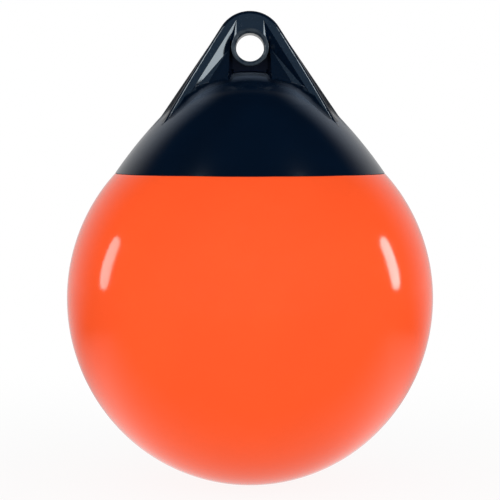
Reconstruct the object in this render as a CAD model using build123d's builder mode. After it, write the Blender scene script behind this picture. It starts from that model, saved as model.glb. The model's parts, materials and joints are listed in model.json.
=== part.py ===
"""An inflatable ball buoy: a hollow vinyl ball under a moulded cap that carries a rope eye and an air valve.

Sizes are in millimetres. The origin is the centre of the rope eye, which runs along Y, and Z points up.
"""
from build123d import *
from math import cos, radians, sin, tan
import os

# Ball
ball_radius = 190.0
belly_bulge = 7.0
belly_turn = 45.0
upper_bulge = 4.0
seam_angle = 42.24
ball_wall = 3.4

# Cap, from the seam with the ball up to the dome under the eye
cap_rise = 102.4
dome_radius = 116.0
dome_edge_angle = 46.0
cap_wall = 6.4
lip_wall = 3.0
lap_length = 14.0

# Rope hold: an arch with two sloping legs round the eye, its faces leaning back to the top
eye_radius = 14.5
eye_rise = 26.2
eye_rim_round = 2.8
crown_radius = 34.8
crown_rise = 2.7
leg_slope = 34.3
front_leg_slope = 30.3
eye_half_depth = 30.5
face_lean = 12.7
lug_edge_round = 4.2
lug_foot_depth = 58.0
ring_radius = 19.2
ring_proud = 0.8
ring_edge_round = 0.9

# Pockets beside the eye: a groove down from the crown, opening into a hollow inside each leg
column_half_width = 13.9
leg_face_top = 9.06
leg_face_foot = 12.9
leg_face_drop = 23.8
groove_gap = 2.8
groove_drop = 2.5
groove_sink = 6.5
leg_width = 21.4
pocket_drop = 12.8
pocket_sink = 3.0
rib_width = 1.2
rib_drop = 9.8

# Recess under the eye
recess_floor_half = 10.0
recess_half_width = 18.0
recess_draft = 9.5
recess_rise = 4.0

# Air valve on the cap's rear shoulder
valve_place = 0.5
pad_radius = 17.0
pad_rise = 1.5
boss_radius = 13.0
boss_depth = 16.0
flange_radius = 13.0
flange_height = 3.0
flange_edge_round = 1.0
barrel_radius = 8.0
barrel_clearance = 0.1
plug_shank_radius = 4.5
plug_shank_length = 13.0
plug_head_radius = 9.0
plug_head_height = 4.0
plug_edge_round = 0.6
plug_clearance = 0.2
plug_slot_width = 2.4
plug_slot_depth = 2.0
plug_grip_count = 12
plug_grip_radius = 1.1
seal_width = 2.4
seal_height = 1.6

# Heights and radii that follow from the sizes above
dome_top_z = -eye_rise
dome_centre_z = dome_top_z - dome_radius
seam_z = dome_top_z - cap_rise
upper_radius = ball_radius + upper_bulge
equator_z = seam_z - upper_radius * sin(radians(seam_angle))
seam_r = upper_radius * cos(radians(seam_angle)) - upper_bulge
belly_radius = ball_radius + belly_bulge
bottom_radius = belly_radius - belly_bulge / cos(radians(belly_turn))
bottom_centre_z = equator_z - belly_bulge * tan(radians(belly_turn))
leg_tilt = radians(leg_slope)
foot_z = dome_top_z - lug_foot_depth
low_z = foot_z - lug_foot_depth
crown_top_z = crown_rise + crown_radius
axis = Axis.Z


def polar(length, degrees_up):
    """Offset of a length at an angle above the horizontal, in the outline's plane."""
    return Vector(length * cos(radians(degrees_up)), length * sin(radians(degrees_up)))


def shoulder_arc(inset, end):
    """Arc from the dome's edge down to the seam, at an inset from the cap's outer face."""
    start = Vector(0, dome_centre_z) + polar(dome_radius - inset, dome_edge_angle)
    return TangentArc(start, end, tangent=polar(1, dome_edge_angle - 90))


def dome_arc(inset):
    """Arc from the axis over the dome to its edge, at an inset from the cap's outer face."""
    top = (0, dome_top_z - inset)
    middle = Vector(0, dome_centre_z) + polar(dome_radius - inset, (90 + dome_edge_angle) / 2)
    edge = Vector(0, dome_centre_z) + polar(dome_radius - inset, dome_edge_angle)
    return ThreePointArc(top, middle, edge)


def half_outline(cap_inset, ball_inset, seam_point):
    """Half outline of the buoy from its top to its bottom, closed along the axis."""
    equator_point = Vector(ball_radius - ball_inset, equator_z)
    belly_point = Vector(-belly_bulge, equator_z) + polar(belly_radius - ball_inset, -belly_turn)
    bottom_middle = Vector(0, bottom_centre_z) + polar(bottom_radius - ball_inset, -(90 + belly_turn) / 2)
    bottom_point = Vector(0, bottom_centre_z - bottom_radius + ball_inset)
    dome_arc(cap_inset)
    shoulder_arc(cap_inset, seam_point)
    TangentArc(equator_point, seam_point, tangent=(0, 1))
    TangentArc(equator_point, belly_point, tangent=(0, -1))
    ThreePointArc(belly_point, bottom_middle, bottom_point)
    Line(bottom_point, (0, dome_top_z - cap_inset))


def leg_line_x(height, inset):
    """Half-width, at a height, of a line parallel to the outer face of a leg."""
    return (crown_radius - inset - (height - crown_rise) * sin(leg_tilt)) / cos(leg_tilt)


def arch_outline(tilt):
    """Front outline of the rope hold: two legs at a tilt from the upright, tangent to the crown."""
    touch_x = crown_radius * cos(tilt)
    touch_z = crown_rise + crown_radius * sin(tilt)
    low_x = (crown_radius - (low_z - crown_rise) * sin(tilt)) / cos(tilt)
    Line((-low_x, low_z), (-touch_x, touch_z))
    ThreePointArc((-touch_x, touch_z), (0, crown_top_z), (touch_x, touch_z))
    Polyline((touch_x, touch_z), (low_x, low_z), (-low_x, low_z))


def half_depth(height):
    """Half-depth of the rope hold at a height."""
    return eye_half_depth - height * tan(radians(face_lean))


def face_point(half_width, height, sink):
    """Point of a pocket, at a depth below the rope hold's front face."""
    return Vector(half_width, sink - half_depth(height), height)


def facet(first, second, third):
    """Plane through three points of a pocket, turned towards its mouth."""
    normal = (second - first).cross(third - first)
    if normal.Y > 0:
        normal = normal * -1
    return Plane(origin=first, z_dir=normal)


def side_profile(proud):
    """Side outline of the rope hold, with its faces moved out."""
    top_z = crown_top_z + crown_radius
    top_half = half_depth(top_z) + proud
    foot_half = half_depth(foot_z) + proud
    Polyline((-top_half, top_z), (top_half, top_z), (foot_half, foot_z), (-foot_half, foot_z), close=True)


def face_plane(side, depth):
    """Plane that looks out along Y from one side of the rope hold."""
    return Plane(origin=(0, side * depth, 0), x_dir=(-side, 0, 0), z_dir=(0, side, 0))


# Outline of the seam: the ball's tongue runs up behind the cap's lip
with BuildLine(mode=Mode.PRIVATE) as outer_shoulder:
    shoulder_arc(0, (seam_r, seam_z))
shoulder_edge = outer_shoulder.edges()[0]
seam_point = shoulder_edge @ 1
up_slope = (shoulder_edge % 1) * -1
inward = Vector(-up_slope.Y, up_slope.X)
if inward.X > 0:
    inward = inward * -1
inner_seam_point = seam_point + inward * cap_wall
lap_low = seam_point + inward * lip_wall
lap_high = lap_low + up_slope * lap_length

with BuildSketch() as outer_face:
    with BuildLine():
        half_outline(0, 0, seam_point)
    make_face()

with BuildSketch() as cavity_face:
    with BuildLine():
        half_outline(cap_wall, ball_wall, inner_seam_point)
    make_face()

# Everything above the seam's step, drawn past the outline on both sides
with BuildSketch() as above_seam:
    with BuildLine():
        Polyline(
            seam_point - inward * lap_length,
            lap_low,
            lap_high,
            lap_high + inward * ball_radius,
            (-ball_radius, crown_radius),
            (2 * ball_radius, crown_radius),
            close=True,
        )
    make_face()

# Ball
with BuildPart() as float_body:
    with BuildSketch(Plane.XZ):
        add(outer_face.sketch)
        add(cavity_face.sketch, mode=Mode.SUBTRACT)
        add(above_seam.sketch, mode=Mode.SUBTRACT)
    revolve(axis=axis)
float_body.part.label = "float_body"

# Four pockets of the rope hold, each bounded by four flat facets
leg_edge_z = dome_top_z - leg_face_drop
pocket_foot_z = dome_top_z - pocket_drop
rib_z = dome_top_z - rib_drop
groove_top_z = crown_rise + (crown_radius - leg_face_top - column_half_width * cos(leg_tilt)) / sin(leg_tilt)
rib_half_width = (
    recess_half_width + (half_depth(rib_z) - recess_floor_half) * tan(radians(recess_draft)) + rib_width
)
groove_top = face_point(column_half_width, groove_top_z, 0)
groove_end = face_point(ring_radius + groove_gap, -groove_drop, groove_sink)
leg_edge_end = face_point(leg_line_x(leg_edge_z, leg_face_foot), leg_edge_z, 0)
pocket_foot = face_point(leg_line_x(pocket_foot_z, leg_width), pocket_foot_z, pocket_sink)
rib_foot = face_point(rib_half_width, rib_z, 0)
column_edge = face_point(column_half_width, 0, 0)
facets = (
    facet(groove_top, groove_end, leg_edge_end),
    facet(groove_end, leg_edge_end, pocket_foot),
    facet(groove_end, pocket_foot, rib_foot),
    facet(groove_top, groove_end, column_edge),
)
with BuildPart() as pockets:
    Box(2 * ball_radius, 2 * ball_radius, 2 * ball_radius)
    for plane in facets:
        split(bisect_by=plane, keep=Keep.TOP)
    mirror(about=Plane.YZ)
    mirror(about=Plane.XZ)

# Arch of the rope hold, before the ring and the cap join it
with BuildPart() as arch:
    for depth, slope in ((0, leg_slope), (half_depth(foot_z), front_leg_slope)):
        with BuildSketch(face_plane(-1, depth)):
            with BuildLine():
                arch_outline(radians(slope))
            make_face()
    loft(ruled=True)
    mirror(about=Plane.XZ)
    with BuildSketch(Plane.YZ):
        with BuildLine():
            side_profile(0)
        make_face()
    extrude(amount=ball_radius, both=True, mode=Mode.INTERSECT)
    lug_faces = arch.faces().sort_by(Axis.Y)
    rim_edges = lug_faces[0].edges() + lug_faces[-1].edges()
    foot_edges = rim_edges.group_by(Axis.Z)[0]
    fillet(rim_edges - foot_edges, lug_edge_round)
    add(pockets.part, mode=Mode.SUBTRACT)
    for side in (-1, 1):
        with BuildSketch(face_plane(side, recess_floor_half)):
            with BuildLine():
                Polyline(
                    (-recess_half_width, recess_rise),
                    (recess_half_width, recess_rise),
                    (recess_half_width, low_z),
                    (-recess_half_width, low_z),
                    close=True,
                )
            make_face()
        extrude(amount=half_depth(foot_z), taper=-recess_draft, mode=Mode.SUBTRACT)
    with BuildSketch(Plane.XZ):
        Circle((eye_radius + ring_radius) / 2)
    extrude(amount=half_depth(foot_z), both=True, mode=Mode.SUBTRACT)

# Ring round the eye, with rounded rims
with BuildPart() as eye_ring:
    with BuildSketch(Plane.XZ):
        Circle(ring_radius)
        Circle(eye_radius, mode=Mode.SUBTRACT)
    extrude(amount=half_depth(foot_z), both=True)
    with BuildSketch(Plane.YZ):
        with BuildLine():
            side_profile(ring_proud)
        make_face()
    extrude(amount=ball_radius, both=True, mode=Mode.INTERSECT)
    ring_ends = eye_ring.faces().filter_by(GeomType.PLANE)
    ring_edges = [edge for face in ring_ends for edge in face.outer_wire().edges()]
    eye_edges = [edge for face in ring_ends for wire in face.inner_wires() for edge in wire.edges()]
    fillet(ring_edges, ring_edge_round)
    fillet(eye_edges, eye_rim_round)

# Place of the air valve, on the rear shoulder of the cap
valve_point = shoulder_edge @ valve_place
valve_slope = shoulder_edge % valve_place
valve_out = Vector(0, -valve_slope.Y, valve_slope.X)
valve_plane = Plane(
    origin=Vector(0, valve_point.X, valve_point.Y) + valve_out * pad_rise,
    x_dir=(1, 0, 0),
    z_dir=valve_out,
)

# Cap and rope hold, one moulding
with BuildPart() as rope_hold:
    with BuildSketch(Plane.XZ):
        add(outer_face.sketch)
        add(above_seam.sketch, mode=Mode.INTERSECT)
    revolve(axis=axis)
    add(arch.part)
    add(eye_ring.part)
    with BuildSketch(valve_plane):
        Circle(pad_radius)
    extrude(amount=-pad_rise - cap_wall / 2)
    with BuildSketch(Plane.XZ):
        add(cavity_face.sketch)
    revolve(axis=axis, mode=Mode.SUBTRACT)
    with BuildSketch(valve_plane):
        Circle(boss_radius)
    extrude(amount=-boss_depth)
    with BuildSketch(valve_plane):
        Circle(barrel_radius + barrel_clearance)
    extrude(amount=-2 * boss_depth, mode=Mode.SUBTRACT)
rope_hold.part.label = "rope_hold"

# Valve body: a flange on the pad and a barrel through the boss
with BuildPart() as valve_body:
    with BuildSketch(valve_plane):
        Circle(flange_radius)
    extrude(amount=flange_height)
    fillet(valve_body.faces().sort_by(Axis(valve_plane.origin, valve_out))[-1].edges(), flange_edge_round)
    with BuildSketch(valve_plane):
        Circle(barrel_radius)
    extrude(amount=-boss_depth)
    seal_floor = valve_plane.offset(flange_height - seal_height)
    seal_radius = plug_shank_radius + plug_clearance + seal_width
    with BuildSketch(seal_floor):
        Circle(seal_radius + plug_clearance)
    extrude(amount=2 * seal_height, mode=Mode.SUBTRACT)
    with BuildSketch(seal_floor):
        Circle(plug_shank_radius + plug_clearance)
    extrude(amount=-2 * boss_depth, mode=Mode.SUBTRACT)
valve_body.part.label = "valve_body"

# Seal ring under the plug's head
with BuildPart() as valve_seal:
    with BuildSketch(seal_floor):
        Circle(seal_radius)
        Circle(plug_shank_radius + plug_clearance, mode=Mode.SUBTRACT)
    extrude(amount=seal_height)
valve_seal.part.label = "valve_seal"

# Plug: a slotted head with a gripped rim, and a shank
head_plane = valve_plane.offset(flange_height)
with BuildPart() as valve_plug:
    with BuildSketch(head_plane):
        Circle(plug_head_radius)
        with PolarLocations(plug_head_radius, plug_grip_count):
            Circle(plug_grip_radius, mode=Mode.SUBTRACT)
    extrude(amount=plug_head_height)
    fillet(valve_plug.faces().sort_by(Axis(head_plane.origin, valve_out))[-1].edges(), plug_edge_round)
    with BuildSketch(head_plane):
        Circle(plug_shank_radius)
    extrude(amount=-plug_shank_length)
    with BuildSketch(head_plane.offset(plug_head_height)):
        Rectangle(3 * plug_head_radius, plug_slot_width)
    extrude(amount=-plug_slot_depth, mode=Mode.SUBTRACT)
valve_plug.part.label = "valve_plug"

os.makedirs("parts", exist_ok=True)
export_step(float_body.part, "parts/float_body.step")
export_step(rope_hold.part, "parts/rope_hold.step")
export_step(valve_body.part, "parts/valve_body.step")
export_step(valve_seal.part, "parts/valve_seal.step")
export_step(valve_plug.part, "parts/valve_plug.step")
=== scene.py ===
"""Inflatable ball buoy: its vinyl ball, moulded rope hold and air valve, dressed on a plain studio stage.

Lengths are in metres. The origin is the centre of the rope eye, which runs along Y, and Z points up.
"""
import json
import math

import bmesh
import bpy
from bpy.props import FloatProperty, FloatVectorProperty, IntProperty, PointerProperty
from bpy.types import Operator, Panel, PropertyGroup
from mathutils import Matrix, Vector, noise
from mathutils.bvhtree import BVHTree


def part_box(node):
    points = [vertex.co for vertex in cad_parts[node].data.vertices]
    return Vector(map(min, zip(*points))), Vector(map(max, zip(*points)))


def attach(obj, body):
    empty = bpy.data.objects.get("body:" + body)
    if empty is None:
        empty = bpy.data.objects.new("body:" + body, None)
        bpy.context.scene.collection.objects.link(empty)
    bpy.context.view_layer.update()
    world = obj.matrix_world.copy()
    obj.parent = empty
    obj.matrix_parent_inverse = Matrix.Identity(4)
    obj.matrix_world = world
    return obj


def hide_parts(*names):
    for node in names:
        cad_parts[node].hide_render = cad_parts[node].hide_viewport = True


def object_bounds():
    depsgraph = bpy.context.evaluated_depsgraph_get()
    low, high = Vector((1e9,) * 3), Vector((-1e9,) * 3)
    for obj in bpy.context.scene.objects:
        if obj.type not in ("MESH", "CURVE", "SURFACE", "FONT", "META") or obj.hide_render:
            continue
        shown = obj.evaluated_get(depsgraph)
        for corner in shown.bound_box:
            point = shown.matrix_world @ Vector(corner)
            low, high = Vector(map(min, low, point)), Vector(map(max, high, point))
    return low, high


bl_info = {
    "name": "Ball Buoy",
    "version": (1, 0, 0),
    "blender": (4, 5, 0),
    "location": "3D View > Sidebar > Buoy",
    "description": "Dresses an inflatable ball buoy and sets it on a plain studio stage",
    "category": "Object",
}

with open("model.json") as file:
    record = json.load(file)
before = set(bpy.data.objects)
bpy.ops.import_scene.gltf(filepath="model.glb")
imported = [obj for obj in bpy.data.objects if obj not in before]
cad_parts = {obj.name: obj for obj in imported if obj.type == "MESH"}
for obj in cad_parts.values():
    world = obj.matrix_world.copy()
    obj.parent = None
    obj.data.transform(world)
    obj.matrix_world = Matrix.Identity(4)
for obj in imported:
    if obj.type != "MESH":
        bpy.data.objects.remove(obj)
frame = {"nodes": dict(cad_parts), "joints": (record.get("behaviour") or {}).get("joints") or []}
cad_low, cad_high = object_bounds()
nodes = frame["nodes"]
ball_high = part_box("float_body")[1]

BUOY_BODY = "buoy"
PLUG_BODY = "plug"
FULL_TURN = 2 * math.pi
WHITE = (1, 1, 1, 1)
PLASTIC_IOR = 1.5

# Tones that lie over the navy vinyl: painted sheen, light and reflections, rope wear with a painted sheen,
# and real dust
FLAT_SHEEN_TONE = (0.0058, 0.0155, 0.0295, 1)
RECESS_LIGHT_TONE = (0.014, 0.022, 0.05, 1)
WEAR_AND_SHEEN_TONE = (0.026, 0.037, 0.048, 1)
FOOT_REFLECTION_TONE = (0.05, 0.065, 0.09, 1)
UNDER_EYE_REFLECTION_TONE = (0.1, 0.128, 0.175, 1)
DUST_TONE = (0.25, 0.26, 0.28, 1)


class Socket:
    """A shader socket that takes part in arithmetic; each operation adds a Math node."""

    def __init__(self, tree, socket):
        self.tree = tree
        self.socket = socket

    def math(self, operation, *others):
        return self.tree.node("ShaderNodeMath", {"operation": operation}, dict(enumerate((self, *others))))

    def reflected(self, operation, other):
        return self.tree.node("ShaderNodeMath", {"operation": operation}, {0: other, 1: self})

    def __add__(self, other):
        return self.math("ADD", other)

    def __sub__(self, other):
        return self.math("SUBTRACT", other)

    def __mul__(self, other):
        return self.math("MULTIPLY", other)

    def __truediv__(self, other):
        return self.math("DIVIDE", other)

    def __pow__(self, other):
        return self.math("POWER", other)

    def __rsub__(self, other):
        return self.reflected("SUBTRACT", other)

    def __rtruediv__(self, other):
        return self.reflected("DIVIDE", other)

    __radd__ = __add__
    __rmul__ = __mul__

    def largest(self, other):
        return self.math("MAXIMUM", other)

    def step(self, low, high):
        """0 below the low value and 1 above the high one, with a soft change between."""
        values = {"Value": self, "From Min": low, "From Max": high}
        return self.tree.node("ShaderNodeMapRange", {"interpolation_type": "SMOOTHSTEP"}, values)

    def band(self, centre, half_width, edge):
        """1 within a half-width of a value, with soft edges."""
        away = (self - centre).math("ABSOLUTE")
        return 1 - away.step(half_width, half_width + edge)


class Shader:
    """The node tree of one material or world, filled by expressions."""

    def __init__(self, owner):
        owner.use_nodes = True
        self.output = "ShaderNodeOutputMaterial"
        if isinstance(owner, bpy.types.World):
            self.output = "ShaderNodeOutputWorld"
        self.tree = owner.node_tree
        self.tree.nodes.clear()

    def node(self, kind, settings=None, values=None, out=0):
        """Adds a node: its settings first, then its sockets' values or links. Returns one output."""
        node = self.tree.nodes.new(kind)
        for name, value in (settings or {}).items():
            setattr(node, name, value)
        for name, value in (values or {}).items():
            socket = self.find(node.inputs, name)
            if isinstance(value, Socket):
                self.tree.links.new(value.socket, socket)
            else:
                socket.default_value = value
        return Socket(self, self.find(node.outputs, out)) if len(node.outputs) else node

    @staticmethod
    def find(sockets, name):
        if isinstance(name, int):
            return sockets[name]
        for socket in sockets:
            if socket.enabled and name in (socket.name, socket.identifier):
                return socket
        raise KeyError(f"no socket named {name}")

    def place(self):
        """Position in the buoy's own frame, in metres."""
        return self.node("ShaderNodeTexCoord", out="Object")

    def parts(self, vector):
        """The three coordinates of a vector."""
        split = self.node("ShaderNodeSeparateXYZ", values={0: vector}).socket.node
        return tuple(Socket(self, output) for output in split.outputs)

    def stretch(self, vector, scale):
        return self.node("ShaderNodeVectorMath", {"operation": "MULTIPLY"}, {0: vector, 1: scale})

    def noise(self, vector, scale, detail=2.0, roughness=0.5):
        values = {"Vector": vector, "Scale": scale, "Detail": detail, "Roughness": roughness}
        return self.node("ShaderNodeTexNoise", values=values, out="Fac")

    def mix(self, factor, first, second):
        values = {"Factor_Float": factor, "A_Color": first, "B_Color": second}
        return self.node("ShaderNodeMix", {"data_type": "RGBA"}, values, "Result_Color")

    def specks(self, vector, scale, size, share):
        """Small round specks in a share of the cells."""
        edge = 0.01
        settings = {"feature": "F1"}
        values = {"Vector": vector, "Scale": scale}
        away = self.node("ShaderNodeTexVoronoi", settings, values, "Distance")
        tint = self.node("ShaderNodeTexVoronoi", settings, values, "Color")
        pick = self.parts(tint)[0].step(1 - share, 1 - share + edge)
        return (1 - away.step(size / 2, size)) * pick

    def bump(self, height, strength, distance, normal=None):
        values = {"Height": height, "Strength": strength, "Distance": distance}
        if normal is not None:
            values["Normal"] = normal
        return self.node("ShaderNodeBump", values=values)

    def moulded_skin(self, place, swell, grain, depth):
        """Normal of a moulded skin: a slow swell under a fine grain."""
        normal = self.bump(self.noise(place, swell), strength=0.05, distance=0.002)
        return self.bump(self.noise(place, grain), strength=0.03, distance=depth, normal=normal)

    def plastic(self, tone, rough, normal):
        """Ends a material in plastic of a given tone, roughness and normal."""
        values = {"Base Color": tone, "Roughness": rough, "Normal": normal, "IOR": PLASTIC_IOR}
        self.surface(self.node("ShaderNodeBsdfPrincipled", values=values))

    def glow(self, strength):
        """White light of a given strength."""
        return self.node("ShaderNodeEmission", values={"Color": WHITE, "Strength": strength})

    def blend(self, factor, first, second):
        """One shader that passes into another."""
        return self.node("ShaderNodeMixShader", values={0: factor, 1: first, 2: second})

    def surface(self, shader):
        self.node(self.output, values={"Surface": shader})


def rgba(colour):
    return (*colour, 1.0)


def tinted(colour, factor):
    return rgba([min(1.0, value * factor) for value in colour])


class BuoySizes(PropertyGroup):
    """Sizes of the pieces that are modelled here."""

    ball_radius: FloatProperty(
        name="Ball radius", description="Half-width of the ball at its widest",
        default=ball_high.x, unit="LENGTH")
    belly_bulge: FloatProperty(
        name="Belly bulge", description="How far the belly's arc is centred past the axis",
        default=0.007, unit="LENGTH")
    belly_turn: FloatProperty(
        name="Belly turn", description="Angle at which the belly passes into the bottom",
        default=math.radians(45), subtype="ANGLE")
    upper_bulge: FloatProperty(
        name="Upper bulge", description="How far the upper arc is centred past the axis",
        default=0.004, unit="LENGTH")
    seam_angle: FloatProperty(
        name="Seam angle", description="Angle from the ball's widest line up to the seam",
        default=math.radians(42.24), subtype="ANGLE")
    seam_height: FloatProperty(
        name="Seam height", description="Height of the seam", default=-0.1286, unit="LENGTH")
    ball_wall: FloatProperty(
        name="Ball wall", description="Thickness of the ball's wall", default=0.0034, unit="LENGTH")
    seam_roll: FloatProperty(
        name="Seam roll", description="Radius of the ball's edge at the seam", default=0.0007, unit="LENGTH")
    seam_wave: FloatProperty(
        name="Seam wave", description="Rise and fall of the trimmed edge at the seam",
        default=0.0005, unit="LENGTH")
    dome_radius: FloatProperty(
        name="Dome radius", description="Radius of the cap's dome", default=0.116, unit="LENGTH")
    dome_top: FloatProperty(
        name="Dome top", description="Height of the dome's top", default=-0.0262, unit="LENGTH")
    dome_edge: FloatProperty(
        name="Dome edge", description="Angle above the horizontal at which the dome passes into the shoulder",
        default=math.radians(46), subtype="ANGLE")
    crown_radius: FloatProperty(
        name="Crown radius", description="Radius of the arch's crown", default=0.0348, unit="LENGTH")
    crown_rise: FloatProperty(
        name="Crown rise", description="Height of the crown's centre", default=0.0027, unit="LENGTH")
    leg_slope: FloatProperty(
        name="Leg slope", description="Tilt of the arch's legs from the upright",
        default=math.radians(34.3), subtype="ANGLE")
    mould_line: FloatProperty(
        name="Mould line", description="Height of the line that the mould left over the arch",
        default=0.00025, unit="LENGTH")
    shank_radius: FloatProperty(
        name="Shank radius", description="Radius of the plug's shank", default=0.0045, unit="LENGTH")
    shank_length: FloatProperty(
        name="Shank length", description="Length of the shank below the seal", default=0.0112, unit="LENGTH")
    thread_height: FloatProperty(
        name="Thread height", description="Height of the thread on the shank", default=0.00014, unit="LENGTH")
    thread_pitch: FloatProperty(
        name="Thread pitch", description="Distance between turns of the thread",
        default=0.0018, unit="LENGTH")
    foot_round: FloatProperty(
        name="Foot round", description="Size of the rounding between the rope hold and the cap",
        default=0.006, unit="LENGTH")
    foot_spacing: FloatProperty(
        name="Foot spacing", description="Distance between the sections of that rounding",
        default=0.0015, unit="LENGTH")
    ball_segments: IntProperty(
        name="Ball segments", description="Faces round the ball", default=224)


class BuoyColours(PropertyGroup):
    """Colours of the finishes."""

    orange: FloatVectorProperty(
        name="Orange vinyl", description="Colour of the ball",
        default=(0.98, 0.096, 0.0215), size=3, subtype="COLOR")
    navy: FloatVectorProperty(
        name="Navy vinyl", description="Colour of the rope hold",
        default=(0.0004, 0.0033, 0.0098), size=3, subtype="COLOR")
    valve: FloatVectorProperty(
        name="Valve plastic", description="Colour of the valve's body",
        default=(0.02, 0.021, 0.024), size=3, subtype="COLOR")
    plug: FloatVectorProperty(
        name="Plug plastic", description="Colour of the valve's plug",
        default=(0.72, 0.72, 0.69), size=3, subtype="COLOR")
    rubber: FloatVectorProperty(
        name="Seal rubber", description="Colour of the seal ring",
        default=(0.018, 0.018, 0.018), size=3, subtype="COLOR")
    floor: FloatVectorProperty(
        name="Floor", description="Colour of the floor", default=(0.85, 0.85, 0.85), size=3, subtype="COLOR")


class BuoyStage(PropertyGroup):
    """The camera, the floor and the light."""

    camera_place: FloatVectorProperty(
        name="Camera place", description="Where the camera stands",
        default=(0.0, -2.0, -0.08), size=3, subtype="TRANSLATION", unit="LENGTH")
    camera_aim: FloatVectorProperty(
        name="Camera aim", description="Point that the camera looks at",
        default=(0.0, 0.0, -0.209), size=3, subtype="TRANSLATION", unit="LENGTH")
    camera_lens: FloatProperty(
        name="Camera lens", description="Focal length in millimetres", default=138.6)
    floor_gap: FloatProperty(
        name="Floor gap", description="Height of the ball above the floor", default=0.0005, unit="LENGTH")
    floor_radius: FloatProperty(
        name="Floor radius", description="Radius of the floor", default=6.0, unit="LENGTH")
    soft_light: FloatProperty(
        name="Soft light", description="Level of the soft light all round", default=0.69)
    front_light: FloatProperty(
        name="Front light", description="Level that the soft light gains in front", default=0.95)
    strip_glow: FloatProperty(
        name="Strip glow", description="Brightness of the light cards at the sides", default=5.2)
    glint_power: FloatProperty(
        name="Glint power", description="Power of the small lamps for the facets", default=0.9, unit="POWER")


class MakerOperator(Operator):
    """What the makers of pieces share."""

    bl_options = {"REGISTER", "UNDO"}

    @property
    def sizes(self):
        return bpy.context.scene.buoy_sizes

    @property
    def colours(self):
        return bpy.context.scene.buoy_colours

    @property
    def studio(self):
        return bpy.context.scene.buoy_stage


def placed(name, data):
    """Puts a mesh, a lamp or a camera in the scene."""
    thing = bpy.data.objects.new(name, data)
    bpy.context.scene.collection.objects.link(thing)
    return thing


def finished(name, mesh):
    """Turns a mesh that is being built into mesh data."""
    data = bpy.data.meshes.new(name)
    mesh.to_mesh(data)
    mesh.free()
    return data


def new_piece(name, mesh, material, body):
    """Puts a mesh in the scene as a piece that rides on a body."""
    piece = placed(name, mesh)
    mesh.materials.append(material)
    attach(piece, body)
    return piece


def dress(node, material):
    """Gives a node of the frame a finished material."""
    slots = nodes[node].data.materials
    slots.clear()
    slots.append(material)


def arc_points(centre, radius, start, end, count):
    """Points of an arc in the half-outline's plane, from one angle above the horizontal to another."""
    turns = [start + (end - start) * step / count for step in range(count + 1)]
    return [
        Vector((centre[0] + radius * math.cos(turn), centre[1] + radius * math.sin(turn)))
        for turn in turns]


def lathe(name, outline, segments, wobble):
    """A closed mesh turned from a half-outline; points on the axis are poles, and wobble lifts the rest."""
    on_axis = 1e-6
    mesh = bmesh.new()
    rings = []
    for place, point in enumerate(outline):
        if point.x < on_axis:
            rings.append([mesh.verts.new((0, 0, point.y))])
            continue
        ring = []
        for step in range(segments):
            turn = FULL_TURN * step / segments
            height = point.y + wobble(place, turn)
            ring.append(mesh.verts.new((point.x * math.cos(turn), point.x * math.sin(turn), height)))
        rings.append(ring)
    for upper, lower in zip(rings, rings[1:] + rings[:1]):
        for step in range(segments):
            after = (step + 1) % segments
            corners = [
                upper[step % len(upper)], lower[step % len(lower)],
                lower[after % len(lower)], upper[after % len(upper)]]
            corners = list(dict.fromkeys(corners))
            if len(corners) > 2:
                mesh.faces.new(corners).smooth = True
    bmesh.ops.recalc_face_normals(mesh, faces=mesh.faces)
    return finished(name, mesh)


def tube(name, rings):
    """A closed mesh through rings of points, with its two ends capped."""
    mesh = bmesh.new()
    rows = [[mesh.verts.new(point) for point in ring] for ring in rings]
    mesh.faces.new(rows[0])
    mesh.faces.new(rows[-1])
    for row, after in zip(rows, rows[1:]):
        for corner in range(len(row)):
            beside = (corner + 1) % len(row)
            mesh.faces.new((row[corner], row[beside], after[beside], after[corner])).smooth = True
    bmesh.ops.recalc_face_normals(mesh, faces=mesh.faces)
    return finished(name, mesh)


def orange_vinyl(colour):
    """Glossy vinyl of the ball: slow shifts of tone, a fine orange-peel skin and faint rubbed patches."""
    gloss = 0.085
    rub_rough = 0.05
    mottle_rough = 0.02
    mottle_share = 0.25
    rub_stretch = (1.0, 1.0, 3.0)
    material = bpy.data.materials.new("orange_vinyl")
    shader = Shader(material)
    place = shader.place()
    cloud = shader.noise(place, scale=7.0, detail=3.0)
    mottle = shader.noise(place, scale=160.0, detail=3.0, roughness=0.6)
    rub = shader.noise(shader.stretch(place, rub_stretch), scale=26.0, detail=4.0, roughness=0.65)
    tone = shader.mix(cloud.step(0.3, 0.7), tinted(colour, factor=0.95), tinted(colour, factor=1.03))
    tone = shader.mix(mottle.step(0.35, 0.75) * mottle_share, tone, tinted(colour, factor=0.92))
    rough = gloss + rub.step(0.5, 0.85) * rub_rough + mottle * mottle_rough
    normal = shader.moulded_skin(place, swell=22.0, grain=320.0, depth=0.0005)
    shader.plastic(tone, rough, normal)
    return material


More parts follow.
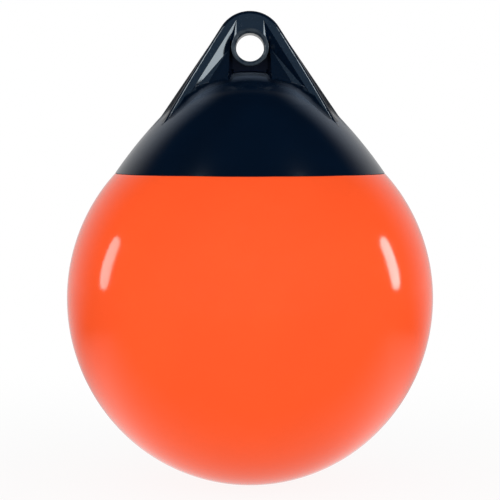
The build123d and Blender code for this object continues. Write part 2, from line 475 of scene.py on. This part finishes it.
def navy_vinyl(colour):
    """Glossy moulded vinyl of the rope hold: duller on the flats, the foot and the eye, dusty by the seam,
    with painted sheen, light and reflections on the flats, the recess, the eye's ring and the foot.
    """
    gloss = 0.11
    leg_spread = 0.185
    material = bpy.data.materials.new("navy_vinyl")
    shader = Shader(material)
    place = shader.place()
    across, along, up = shader.parts(place)
    facing, upward = shader.parts(shader.node("ShaderNodeTexCoord", out="Normal"))[1:]
    wide = across.math("ABSOLUTE")
    deep = along.math("ABSOLUTE")
    cloud = shader.noise(place, scale=12.0, detail=3.0)
    mottle = shader.noise(place, scale=220.0, detail=3.0, roughness=0.6)
    scuff = shader.noise(place, scale=90.0, detail=4.0, roughness=0.7)

    # Where each finish lies, and where light is painted
    upright = facing.math("ABSOLUTE").step(0.9, 0.96)
    # Painted sheen: flats that face straight ahead or back get a lighter tone, besides their real duller
    # finish
    flat = upright * deep.step(0.014, 0.02)
    # Painted light: the upright faces of the recess under the eye get a lighter tone
    recess = upright * (1 - deep.step(0.011, 0.014))
    from_eye = (across * across + up * up) ** 0.5
    # Rope wear and a painted sheen: patches of the ring round the eye's mouth get a lighter tone and more
    # roughness
    wear_and_sheen = from_eye.band(centre=0.0168, half_width=0.0022, edge=0.0008) * scuff.step(0.25, 0.6)
    by_seam = 1 - up.step(-0.124, -0.114)
    dust = shader.specks(place, scale=130.0, size=0.09, share=0.05) * by_seam
    on_cap = (1 - up.step(-0.026, -0.022)) * upward.step(0.5, 0.8)
    foot = on_cap * (1 - (deep - wide * leg_spread).step(0.034, 0.07))
    # Painted reflection: a pale tint on the cap round the feet of the legs
    reflection_by_legs = foot * wide.step(0.023, 0.053) * 0.85
    # Painted reflection: a pale arc on the dome below the eye, in front and behind
    reflection_under_eye = on_cap * (1 - deep.step(0.012, 0.046)) * (1 - wide.step(0.016, 0.022))

    # How far each tone covers the ones before it
    tone = shader.mix(cloud.step(0.3, 0.7), tinted(colour, factor=0.85), tinted(colour, factor=1.15))
    layers = (
        (flat * (0.8 + mottle * 0.3), FLAT_SHEEN_TONE),
        (recess * 0.7, RECESS_LIGHT_TONE),
        (wear_and_sheen * 0.7, WEAR_AND_SHEEN_TONE),
        (reflection_by_legs * (0.9 + mottle * 0.2), FOOT_REFLECTION_TONE),
        (reflection_under_eye, UNDER_EYE_REFLECTION_TONE),
        (dust * 0.7, DUST_TONE),
    )
    for cover, layer in layers:
        tone = shader.mix(cover, tone, layer)

    # How much each finish adds to the roughness
    rough = gloss
    for finish, added in ((mottle, 0.04), (flat, 0.14), (wear_and_sheen, 0.16), (dust, 0.3), (foot, 0.16)):
        rough = rough + finish * added
    normal = shader.moulded_skin(place, swell=30.0, grain=420.0, depth=0.0004)
    shader.plastic(tone, rough, normal)
    return material


def moulded_plastic(name, colour, rough_low, rough_high):
    """Satin moulded plastic of the valve, with a fine grain and faint handling marks."""
    mark_share = 0.5
    mark_stretch = (1.0, 4.0, 1.0)
    material = bpy.data.materials.new(name)
    shader = Shader(material)
    place = shader.place()
    grain = shader.noise(place, scale=1400.0)
    marks = shader.noise(shader.stretch(place, mark_stretch), scale=260.0, detail=4.0, roughness=0.7)
    tone = shader.mix(marks.step(0.5, 0.8) * mark_share, rgba(colour), tinted(colour, factor=0.8))
    rough = rough_low + (rough_high - rough_low) * marks
    shader.plastic(tone, rough, shader.bump(grain, strength=0.15, distance=0.0001))
    return material


class BUOY_OT_ball(MakerOperator):
    """Model the vinyl ball with a rolled, slightly uneven edge at the seam"""

    bl_idname = "buoy.ball"
    bl_label = "Ball"

    def outline(self):
        """The half-outline of the ball's wall from its rolled edge, and how many points the wave moves."""
        sizes = self.sizes
        arc_steps = 40
        roll_steps = 5
        waved_below_roll = 6
        upper_radius = sizes.ball_radius + sizes.upper_bulge
        equator = sizes.seam_height - upper_radius * math.sin(sizes.seam_angle)
        belly_radius = sizes.ball_radius + sizes.belly_bulge
        bottom_radius = belly_radius - sizes.belly_bulge / math.cos(sizes.belly_turn)
        bottom_centre = equator - sizes.belly_bulge * math.tan(sizes.belly_turn)
        upper_place = (-sizes.upper_bulge, equator)
        belly_place = (-sizes.belly_bulge, equator)
        bottom_place = (0, bottom_centre)

        def skin(inset, top_angle):
            turn = sizes.belly_turn
            upper = arc_points(upper_place, upper_radius - inset, top_angle, 0, arc_steps)
            belly = arc_points(belly_place, belly_radius - inset, 0, -turn, arc_steps)
            bottom = arc_points(bottom_place, bottom_radius - inset, -turn, -math.pi / 2, arc_steps)
            return upper + belly[1:] + bottom[1:-1] + [Vector((0, bottom[-1].y))]

        edge_angle = sizes.seam_angle - sizes.seam_roll / upper_radius
        edge = Vector((math.cos(edge_angle), math.sin(edge_angle)))
        outer = skin(0, edge_angle)
        inner = skin(sizes.ball_wall, sizes.seam_angle)
        roll_centre = Vector(upper_place) + (upper_radius - sizes.seam_roll) * edge
        roll = arc_points(roll_centre, sizes.seam_roll, edge_angle + math.pi / 2, edge_angle, roll_steps)
        return roll[:-1] + outer + inner[::-1], len(roll) + waved_below_roll

    def execute(self, context):
        outline, edge_count = self.outline()
        wave = self.sizes.seam_wave
        ripples = 4
        mean_drop = 0.6

        def wobble(place, turn):
            if place >= edge_count:
                return 0
            fade = 1 - place / edge_count
            ripple = noise.noise(Vector((ripples * math.cos(turn), ripples * math.sin(turn), 0)))
            return -wave * fade * (mean_drop + ripple)

        mesh = lathe("ball", outline, self.sizes.ball_segments, wobble)
        piece = new_piece("ball", mesh, orange_vinyl(self.colours.orange), BUOY_BODY)
        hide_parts("float_body")
        return {"FINISHED"}


class BUOY_OT_rope_hold(MakerOperator):
    """Finish the moulded cap and rope hold, with a rounding where the two meet and a fine mould line"""

    bl_idname = "buoy.rope_hold"
    bl_label = "Rope hold"

    def cap_skin(self, point):
        """Height of a point above the cap's skin, and the skin's outward direction there."""
        sizes = self.sizes
        out = Vector((point.x, point.y, 0))
        flat = Vector((out.length, point.z))
        centre = Vector((0, sizes.dome_top - sizes.dome_radius))
        radius = sizes.dome_radius
        edge = Vector((math.cos(sizes.dome_edge), math.sin(sizes.dome_edge)))
        if (flat - centre).normalized().y < edge.y:
            upper_radius = sizes.ball_radius + sizes.upper_bulge
            seam_radius = upper_radius * math.cos(sizes.seam_angle) - sizes.upper_bulge
            chord = Vector((seam_radius, sizes.seam_height)) - centre - edge * radius
            bow = chord.length_squared / (2 * chord.dot(edge))
            centre = centre + edge * (radius + bow)
            radius = -bow
        spoke = flat - centre
        normal = spoke.normalized()
        return spoke.length - radius, out.normalized() * normal.x + Vector((0, 0, normal.y))

    def foot_edges(self, mesh):
        """Edges at which the arch meets the cap's outer skin, each with the outward direction of the arch."""
        near = 0.00002
        sag = 0.0002
        least_facing = 0.9

        def on_cap(face):
            if any(abs(self.cap_skin(vert.co)[0]) > near for vert in face.verts):
                return False
            height, outward = self.cap_skin(face.calc_center_median())
            return abs(height) < sag and outward.dot(face.normal) > least_facing

        found = {}
        span = self.sizes.dome_radius
        for edge in mesh.edges:
            if all(abs(vert.co.x) < span and abs(vert.co.y) < span / 2 for vert in edge.verts):
                first, second = edge.link_faces
                if on_cap(first) != on_cap(second):
                    found[edge] = second.normal if on_cap(first) else first.normal
        return found

    def foot_line(self, mesh):
        """Points round the foot of the arch in order, each with the outward direction of the arch."""
        edges = self.foot_edges(mesh)
        joined = {}
        for edge in edges:
            for vert in edge.verts:
                joined.setdefault(vert, []).append(edge)
        first = max(joined, key=lambda vert: vert.co.x)
        vert = first
        edge = joined[first][0]
        line = []
        while not line or vert != first:
            line.append((vert.co.copy(), edges[edge].copy()))
            vert = edge.other_vert(vert)
            edge = next(other for other in joined[vert] if other != edge)
        return line

    def foot_sections(self, line):
        """Evenly spaced places along the foot, each with a smoothed direction of the arch."""
        smoothings = 4
        places = []
        ways = []
        ahead = 0.0
        for (start, way), (end, _) in zip(line, line[1:] + line[:1]):
            length = (end - start).length
            while ahead < length:
                places.append(start.lerp(end, ahead / length))
                ways.append(way)
                ahead += self.sizes.foot_spacing
            ahead -= length
        for _ in range(smoothings):
            ways = [
                (before + way * 2 + after).normalized()
                for before, way, after in zip(ways[-1:] + ways[:-1], ways, ways[1:] + ways[:1])]
        return zip(places, ways)

    def foot_blend(self):
        """A rounding that runs round the foot of the arch, its edges laid on the arch and on the cap."""
        steps = 8
        buried = 0.0001
        back_depth = 6
        leg_start = 0.04
        same_place = 0.000001
        solid = bmesh.new()
        solid.from_mesh(nodes["rope_hold"].data)
        bmesh.ops.remove_doubles(solid, verts=solid.verts, dist=same_place)
        skin = BVHTree.FromBMesh(solid)
        line = self.foot_line(solid)
        solid.free()
        mesh = bmesh.new()
        rings = []
        for place, arch_out in self.foot_sections(line):
            cap_out = self.cap_skin(place)[1]
            size = self.sizes.foot_round * (1 + max(0, abs(place.x) - leg_start) / leg_start)
            lean = cap_out.dot(arch_out)
            low = place + (arch_out - cap_out * lean).normalized() * size
            height, low_out = self.cap_skin(low)
            low -= low_out * (height + buried)
            above = place + (cap_out - arch_out * lean).normalized() * size
            high = skin.find_nearest(above)[0] - arch_out * buried
            root = place - (cap_out + arch_out) * buried
            ring = []
            for step in range(steps + 1):
                turn = step / steps
                ring.append(high.lerp(root, turn).lerp(root.lerp(low, turn), turn))
            ring.append(place - (cap_out + arch_out) * back_depth * buried)
            rings.append([mesh.verts.new(point) for point in ring])
        for ring, after in zip(rings, rings[1:] + rings[:1]):
            for corner in range(len(ring)):
                beside = (corner + 1) % len(ring)
                mesh.faces.new((ring[corner], ring[beside], after[beside], after[corner])).smooth = True
            mesh.edges.get((ring[steps], after[steps])).smooth = False
        bmesh.ops.recalc_face_normals(mesh, faces=mesh.faces)
        return finished("foot_blend", mesh)

    def mould_line(self):
        """A fine ridge over the arch in its middle plane, each end of it below the cap's skin."""
        sizes = self.sizes
        half_width = 0.0005
        spacing = 0.004
        crown_steps = 48
        profile = ((-1, -0.5), (-0.6, 0.55), (0, 1), (0.6, 0.55), (1, -0.5))
        slope = sizes.leg_slope
        across = math.cos(slope)
        up = math.sin(slope)
        leg = [Vector((across, 0, up)) * sizes.crown_radius + Vector((0, 0, sizes.crown_rise))]
        while self.cap_skin(leg[-1])[0] > -spacing / 2:
            leg.append(leg[-1] + Vector((up, 0, -across)) * spacing)
        turns = arc_points((0, sizes.crown_rise), sizes.crown_radius, slope, math.pi - slope, crown_steps)
        crown = [Vector((point.x, 0, point.y)) for point in turns]
        other = [Vector((-point.x, 0, point.z)) for point in leg]
        path = leg[:0:-1] + crown + other[1:]
        rings = []
        for place, before, after in zip(path, path[:1] + path[:-1], path[1:] + path[-1:]):
            way = (after - before).normalized()
            out = Vector((way.z, 0, -way.x))
            if out.z < 0:
                out = -out
            rings.append([
                place + out * (sizes.mould_line * rise) + Vector((0, half_width * side, 0))
                for side, rise in profile])
        return tube("mould_line", rings)

    def execute(self, context):
        vinyl = navy_vinyl(self.colours.navy)
        dress("rope_hold", vinyl)
        new_piece("foot_blend", self.foot_blend(), vinyl, BUOY_BODY)
        new_piece("mould_line", self.mould_line(), vinyl, BUOY_BODY)
        return {"FINISHED"}


class BUOY_OT_valve(MakerOperator):
    """Finish the air valve's body, plug and seal, and wind the plug's thread"""

    bl_idname = "buoy.valve"
    bl_label = "Air valve"

    def thread(self):
        """The plug's thread: a fine ridge wound round the shank below the seal, fading out at its ends."""
        sizes = self.sizes
        turn_steps = 32
        fade_steps = 16
        spare_turns = 1.5
        profile = ((-0.3, False), (-0.08, True), (0.08, True), (0.3, False))
        low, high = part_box("valve_seal")
        axis = Vector(frame["joints"][0]["axis"])
        side = Vector((1, 0, 0))
        third = axis.cross(side)
        start = (low + high) / 2 - axis * sizes.thread_pitch
        turns = (sizes.shank_length - spare_turns * sizes.thread_pitch) / sizes.thread_pitch
        steps = round(turns * turn_steps)
        rings = []
        for step in range(steps + 1):
            turn = FULL_TURN * turns * step / steps
            out = side * math.cos(turn) + third * math.sin(turn)
            place = start - axis * (sizes.thread_pitch * turns * step / steps)
            crest = sizes.thread_height * min(1, step / fade_steps, (steps - step) / fade_steps)
            rings.append([
                place + axis * (sizes.thread_pitch * along)
                + out * (sizes.shank_radius + (crest if on_crest else -sizes.thread_height))
                for along, on_crest in profile])
        return tube("thread", rings)

    def execute(self, context):
        plastic = moulded_plastic("plug_plastic", self.colours.plug, 0.3, 0.5)
        dress("valve_body", moulded_plastic("valve_plastic", self.colours.valve, 0.3, 0.45))
        dress("valve_plug", plastic)
        dress("valve_seal", moulded_plastic("seal_rubber", self.colours.rubber, 0.55, 0.75))
        new_piece("thread", self.thread(), plastic, PLUG_BODY)
        return {"FINISHED"}


class BUOY_OT_stage(MakerOperator):
    """Set the camera, the floor and the studio light"""

    bl_idname = "buoy.stage"
    bl_label = "Stage"

    def camera(self):
        studio = self.studio
        data = bpy.data.cameras.new("camera")
        data.lens = studio.camera_lens
        camera = placed("camera", data)
        self.aim(camera, Vector(studio.camera_place), Vector(studio.camera_aim))
        bpy.context.scene.camera = camera

    @staticmethod
    def aim(thing, place, target):
        """Puts a camera or a lamp at a place, looking at a target."""
        thing.location = place
        thing.rotation_mode = "QUATERNION"
        thing.rotation_quaternion = (target - place).to_track_quat("-Z", "Y")

    def floor(self):
        """A white floor with a soft shadow; in the gloss it glows like the backdrop."""
        studio = self.studio
        least_lift = 0.9
        mirror_level = 0.85
        mirror_fall = 0.3
        off_centre = 0.01
        mesh = bmesh.new()
        bmesh.ops.create_circle(mesh, cap_ends=True, segments=96, radius=studio.floor_radius)
        floor = placed("floor", finished("floor", mesh))
        floor.location.z = cad_low.z - studio.floor_gap
        material = bpy.data.materials.new("floor")
        shader = Shader(material)
        across, along = shader.parts(shader.place())[:2]
        away = (across * across + along * along) ** 0.5
        seen, glossy = self.rays(shader)
        lift = seen * (least_lift + away.step(0.25, 1.0) * (1 - least_lift)) + (1 - seen)
        matt = shader.node("ShaderNodeBsdfDiffuse", values={"Color": rgba(self.colours.floor)})
        light = shader.glow(1.0)
        shown = shader.blend(lift, matt, light)
        near = along.step(-0.22, 0.03) * (mirror_level - away.step(0.12, 0.5) * mirror_fall)
        far = self.backdrop(along / (away + off_centre))
        level = near + (far - near) * away.step(0.3, 1.0)
        mirrored = shader.blend(level, shader.glow(0.0), light)
        shader.surface(shader.blend(glossy, shown, mirrored))
        floor.data.materials.append(material)

    def world(self):
        """Soft light all round, stronger in front and weaker above; the camera sees plain white."""
        top_loss = 0.25
        world = bpy.data.worlds.new("studio")
        bpy.context.scene.world = world
        shader = Shader(world)
        along, up = shader.parts(shader.node("ShaderNodeTexCoord", out="Generated"))[1:]
        seen, glossy = self.rays(shader)
        front = (0 - along).step(-0.2, 0.9) * self.studio.front_light
        soft = self.studio.soft_light + front - up.step(0.2, 0.9) * top_loss
        strength = seen + (1 - seen) * (glossy * self.backdrop(along) + (1 - glossy) * soft)
        shader.surface(shader.node("ShaderNodeBackground", values={"Color": WHITE, "Strength": strength}))

    @staticmethod
    def backdrop(along):
        """Brightness of the backdrop in the gloss: dark towards the camera, pale behind the buoy."""
        darkest = 0.006
        gain = 0.62
        return along.step(0.31, 0.94) * gain + darkest

    @staticmethod
    def rays(shader):
        """Whether the camera sees a point, straight or through clear pieces, and whether a gloss does."""
        path = shader.node("ShaderNodeLightPath").socket.node
        camera, clear, glossy = (
            Socket(shader, path.outputs[name])
            for name in ("Is Camera Ray", "Is Transmission Ray", "Is Glossy Ray"))
        return camera.largest(clear), glossy

    @staticmethod
    def glowing(name, strength):
        """A material that only glows."""
        material = bpy.data.materials.new(name)
        shader = Shader(material)
        shader.surface(shader.glow(strength))
        return material

    @staticmethod
    def hide(thing, *rays):
        """Keeps a thing out of sight of some kinds of rays."""
        for ray in rays:
            setattr(thing, f"visible_{ray}", False)

    def card(self, name, centre, target, width, height, glow):
        """A light card with well-rounded corners, turned to a target."""
        points = 48
        corner_power = 0.6

        def squared(value):
            return math.copysign(abs(value) ** corner_power, value) / 2

        mesh = bmesh.new()
        turns = [FULL_TURN * step / points for step in range(points)]
        corners = [(squared(math.cos(turn)), squared(math.sin(turn)), 0) for turn in turns]
        mesh.faces.new([mesh.verts.new(corner) for corner in corners])
        card = placed(name, finished(name, mesh))
        way = (target - centre).to_track_quat("Z", "Y").to_matrix().to_4x4()
        card.matrix_world = Matrix.Translation(centre) @ way @ Matrix.Diagonal((width, height, 1, 1))
        self.hide(card, "camera", "shadow", "transmission")
        card.data.materials.append(self.glowing(name, glow))

    def flag(self):
        """A dark board behind the rope hold that only its gloss sees; it keeps the legs' edges dark."""
        behind = 0.12
        faint = 0.02
        wing = ((0.14, -0.06), (0.06, 0.045), (0.025, 0.07), (0.03, -0.06))
        corners = [(side * x, behind, z) for side in (-1, 1) for x, z in wing]
        count = len(wing)
        data = bpy.data.meshes.new("flag")
        data.from_pydata(corners, [], [range(count), range(count, 2 * count)])
        flag = placed("flag", data)
        self.hide(flag, "camera", "diffuse", "transmission", "shadow")
        data.materials.append(self.glowing("flag", faint))

    def glint(self, name, start, towards, power):
        """A small cool lamp that one facet of the rope hold mirrors; it lights nothing else."""
        distance = 0.8
        data = bpy.data.lights.new(name, "AREA")
        data.shape = "DISK"
        data.size = 0.2
        data.energy = power
        data.color = (0.8, 0.92, 1.0)
        lamp = placed(name, data)
        self.aim(lamp, start + towards * distance, start)
        receivers = bpy.data.collections.new(name)
        receivers.objects.link(nodes["rope_hold"])
        lamp.light_linking.receiver_collection = receivers

    def cards(self):
        """A light card at each side, and small lamps that bring out the facets of the rope hold."""
        distance = 1.2
        width = 0.21
        height = 0.49
        edge_power = 1.4
        bevel_power = 1.1
        glow = self.studio.strip_glow
        power = self.studio.glint_power
        for side, strength in ((-1, 1.0), (1, 1.5)):
            streak = Vector((side * 0.137, -0.122, -0.217))
            centre = streak + Vector((side * 0.95, 0.22, 0.215)) * distance
            self.card(f"card_{side + 1}", centre, streak, width, height, glow * strength)
            groove = Vector((side * 0.0175, -0.029, 0.012))
            self.glint(f"groove_{side + 1}", groove, Vector((side * 0.938, -0.16, 0.306)), power)
            edge = Vector((side * 0.055, -0.035, -0.02))
            self.glint(f"edge_{side + 1}", edge, Vector((side * 0.545, -0.49, 0.68)), power * edge_power)
        bevel = Vector((-0.036, -0.034, -0.008))
        self.glint("bevel", bevel, Vector((0.862, -0.473, -0.179)), power * bevel_power)

    def execute(self, context):
        self.camera()
        self.world()
        self.floor()
        self.cards()
        self.flag()
        context.scene.view_settings.view_transform = "Standard"
        return {"FINISHED"}


MAKERS = (BUOY_OT_stage, BUOY_OT_ball, BUOY_OT_rope_hold, BUOY_OT_valve)


class BUOY_PT_makers(Panel):
    """The makers of the buoy's pieces, with their sizes and colours"""

    bl_idname = "BUOY_PT_makers"
    bl_label = "Ball buoy"
    bl_space_type = "VIEW_3D"
    bl_region_type = "UI"
    bl_category = "Buoy"

    def draw(self, context):
        for maker in MAKERS:
            self.layout.operator(maker.bl_idname)
        for group in (context.scene.buoy_sizes, context.scene.buoy_colours, context.scene.buoy_stage):
            box = self.layout.box()
            for name in group.__annotations__:
                box.prop(group, name)


GROUPS = {"buoy_sizes": BuoySizes, "buoy_colours": BuoyColours, "buoy_stage": BuoyStage}
CLASSES = (*GROUPS.values(), *MAKERS, BUOY_PT_makers)


def register():
    for kind in CLASSES:
        bpy.utils.register_class(kind)
    for name, kind in GROUPS.items():
        setattr(bpy.types.Scene, name, PointerProperty(type=kind))


def unregister():
    for name in GROUPS:
        delattr(bpy.types.Scene, name)
    for kind in reversed(CLASSES):
        bpy.utils.unregister_class(kind)


def main():
    register()
    bpy.ops.buoy.stage()
    bpy.ops.buoy.ball()
    bpy.ops.buoy.rope_hold()
    bpy.ops.buoy.valve()


if __name__ == "__main__":
    main()
